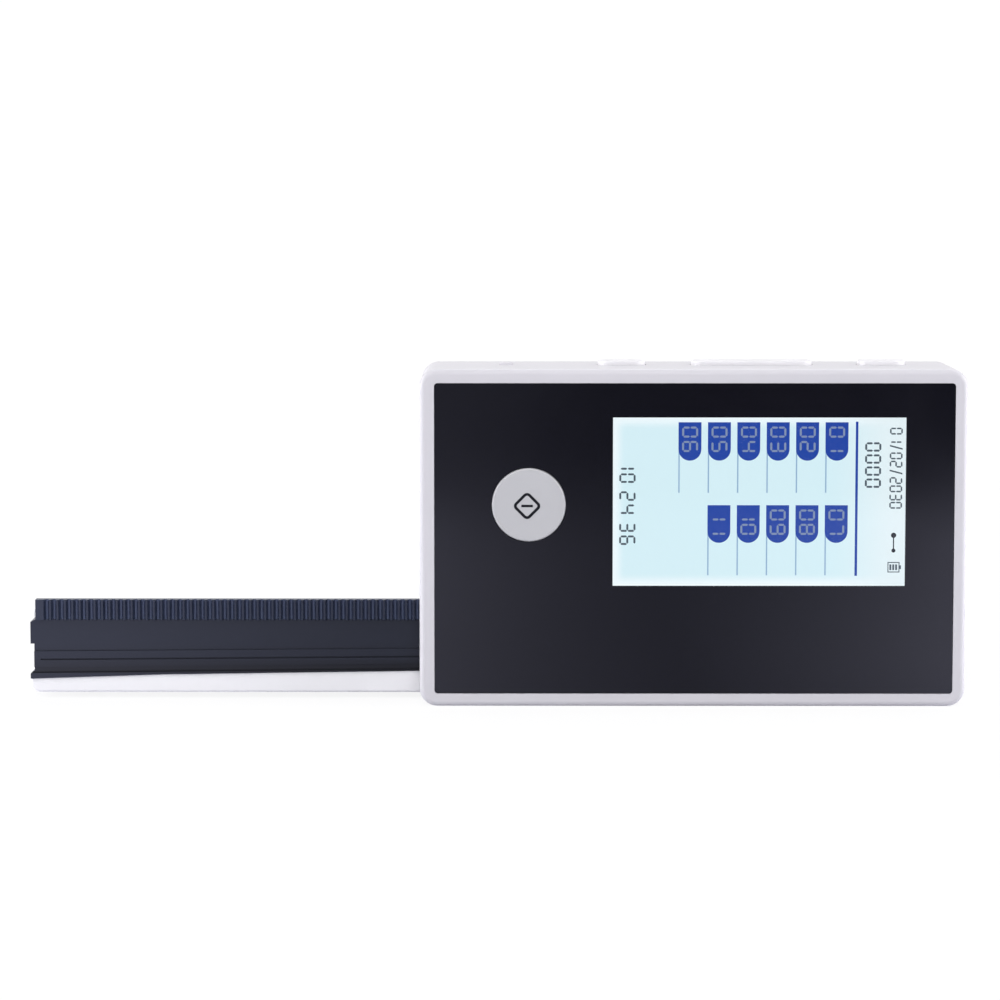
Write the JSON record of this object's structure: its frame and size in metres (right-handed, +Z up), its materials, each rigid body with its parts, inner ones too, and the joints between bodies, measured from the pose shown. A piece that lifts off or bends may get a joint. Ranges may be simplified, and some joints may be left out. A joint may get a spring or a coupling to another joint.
{
  "type": "urine analyzer",
  "caption": "Handheld strip reader: a flat housing with a display and start button, and a motor-driven strip drawer that slides out of one end.",
  "frame": {"origin": "centre of the housing's flat long side, on the surface that it stands on", "axes": "+X along the housing, away from the drawer's mouth; +Y from the display to the back; +Z up"},
  "size_m": [0.197, 0.03, 0.0717],
  "materials": {
    "white_shell": "fine moulded texture, lavender white",
    "black_panel": "gloss black printed sheet",
    "clear_window": "clear",
    "lcd": "pale cyan display",
    "backlight": "white light guide",
    "black_plastic": "satin black moulding",
    "bed_black": "satin blue-black moulding",
    "button_grey": "satin light grey",
    "steel": "satin",
    "board_green": "solder mask",
    "chip_black": "moulded package",
    "flex_amber": "polyimide",
    "pom_white": "natural acetal",
    "ceramic_white": "calibration white",
    "battery_wrap": "shrink film",
    "rubber": "matte",
    "label_silver": "bare silver film",
    "led_clear": "clear dome"
  },
  "bodies": {
    "housing": {"back_shell": "white_shell", "backlight": "backlight", "battery_pack": "battery_wrap", "battery_socket": "pom_white", "board_chips": "chip_black", "board_screws": "steel", "bracket_screws": "steel", "buzzer": "chip_black", "case_screws": "steel", "display_window": "clear_window", "drawer_sensor": "chip_black", "drive_bracket": "steel", "front_guide_rail": "black_plastic", "front_shell": "white_shell", "gear_axle": "steel", "key_board": "board_green", "key_switches": "chip_black", "lcd_flex": "flex_amber", "lcd_glass": "lcd", "lcd_holder": "black_plastic", "light_and_sensor": "led_clear", "main_board": "board_green", "motor": "steel", "optical_block": "black_plastic", "optical_board": "board_green", "optics_screws": "steel", "overlay_panel": "black_panel", "rail_screws": "steel", "rating_plate": "label_silver", "rear_guide_rail": "black_plastic", "rocker_bracket": "steel", "rubber_feet": "rubber", "start_switch": "chip_black", "usb_socket": "steel"},
    "drawer": {"drawer_base": "white_shell", "strip_bed": "bed_black", "reference_tile": "ceramic_white", "sensor_flag": "black_plastic"},
    "start_button": {"start_button": "button_grey", "start_plunger": "pom_white"},
    "left_key": {"left_key": "white_shell", "left_key_plunger": "pom_white"},
    "right_key": {"right_key": "white_shell", "right_key_plunger": "pom_white"},
    "rocker_key": {"rocker_key": "white_shell", "rocker_pin": "steel"},
    "rocker_plunger_left": {"rocker_plunger_left": "pom_white"},
    "rocker_plunger_right": {"rocker_plunger_right": "pom_white"},
    "drive_gear": {"drive_gear": "pom_white"},
    "motor_rotor": {"motor_shaft": "steel", "motor_pinion": "pom_white"}
  },
  "joints": [
    {"name": "drawer_slide", "type": "slide", "parent": "housing", "child": "drawer", "axis": [1, 0, 0], "range_m": [0, 0.083]},
    {"name": "start_press", "type": "slide", "parent": "housing", "child": "start_button", "axis": [0, 1, 0], "range_m": [0, 0.0005], "stiffness_N_per_m": 400, "springref_m": -0.0006},
    {"name": "left_key_press", "type": "slide", "parent": "housing", "child": "left_key", "axis": [0, 0, -1], "range_m": [0, 0.0005], "stiffness_N_per_m": 400, "springref_m": -0.0006},
    {"name": "right_key_press", "type": "slide", "parent": "housing", "child": "right_key", "axis": [0, 0, -1], "range_m": [0, 0.0005], "stiffness_N_per_m": 400, "springref_m": -0.0006},
    {"name": "rocker_tilt", "type": "hinge", "parent": "housing", "child": "rocker_key", "pos_m": [0.0129, 0.001, 0.0662], "axis": [0, 1, 0], "range_deg": [-2, 2], "stiffness_Nm_per_rad": 0.06},
    {"name": "left_contact_press", "type": "slide", "parent": "housing", "child": "rocker_plunger_left", "axis": [0, 0, -1], "range_m": [-0.00033, 0.00033]},
    {"name": "right_contact_press", "type": "slide", "parent": "housing", "child": "rocker_plunger_right", "axis": [0, 0, -1], "range_m": [-0.00033, 0.00033]},
    {"name": "gear_spin", "type": "hinge", "parent": "housing", "child": "drive_gear", "pos_m": [-0.0373, -0.0076, 0.01685], "axis": [0, 0, 1], "range_deg": [-1360, 5]},
    {"name": "motor_spin", "type": "hinge", "parent": "housing", "child": "motor_rotor", "pos_m": [-0.04366, -0.0069, 0.02285], "axis": [0, 0, 1], "range_deg": [-5, 2266]}
  ],
  "couplings": [
    {"joint": "gear_spin", "follows": "drawer_slide", "rad_per_m": -285.71},
    {"joint": "motor_spin", "follows": "drawer_slide", "rad_per_m": 476.19},
    {"joint": "left_contact_press", "follows": "rocker_tilt", "m_per_rad": -0.009},
    {"joint": "right_contact_press", "follows": "rocker_tilt", "m_per_rad": 0.009}
  ]
}
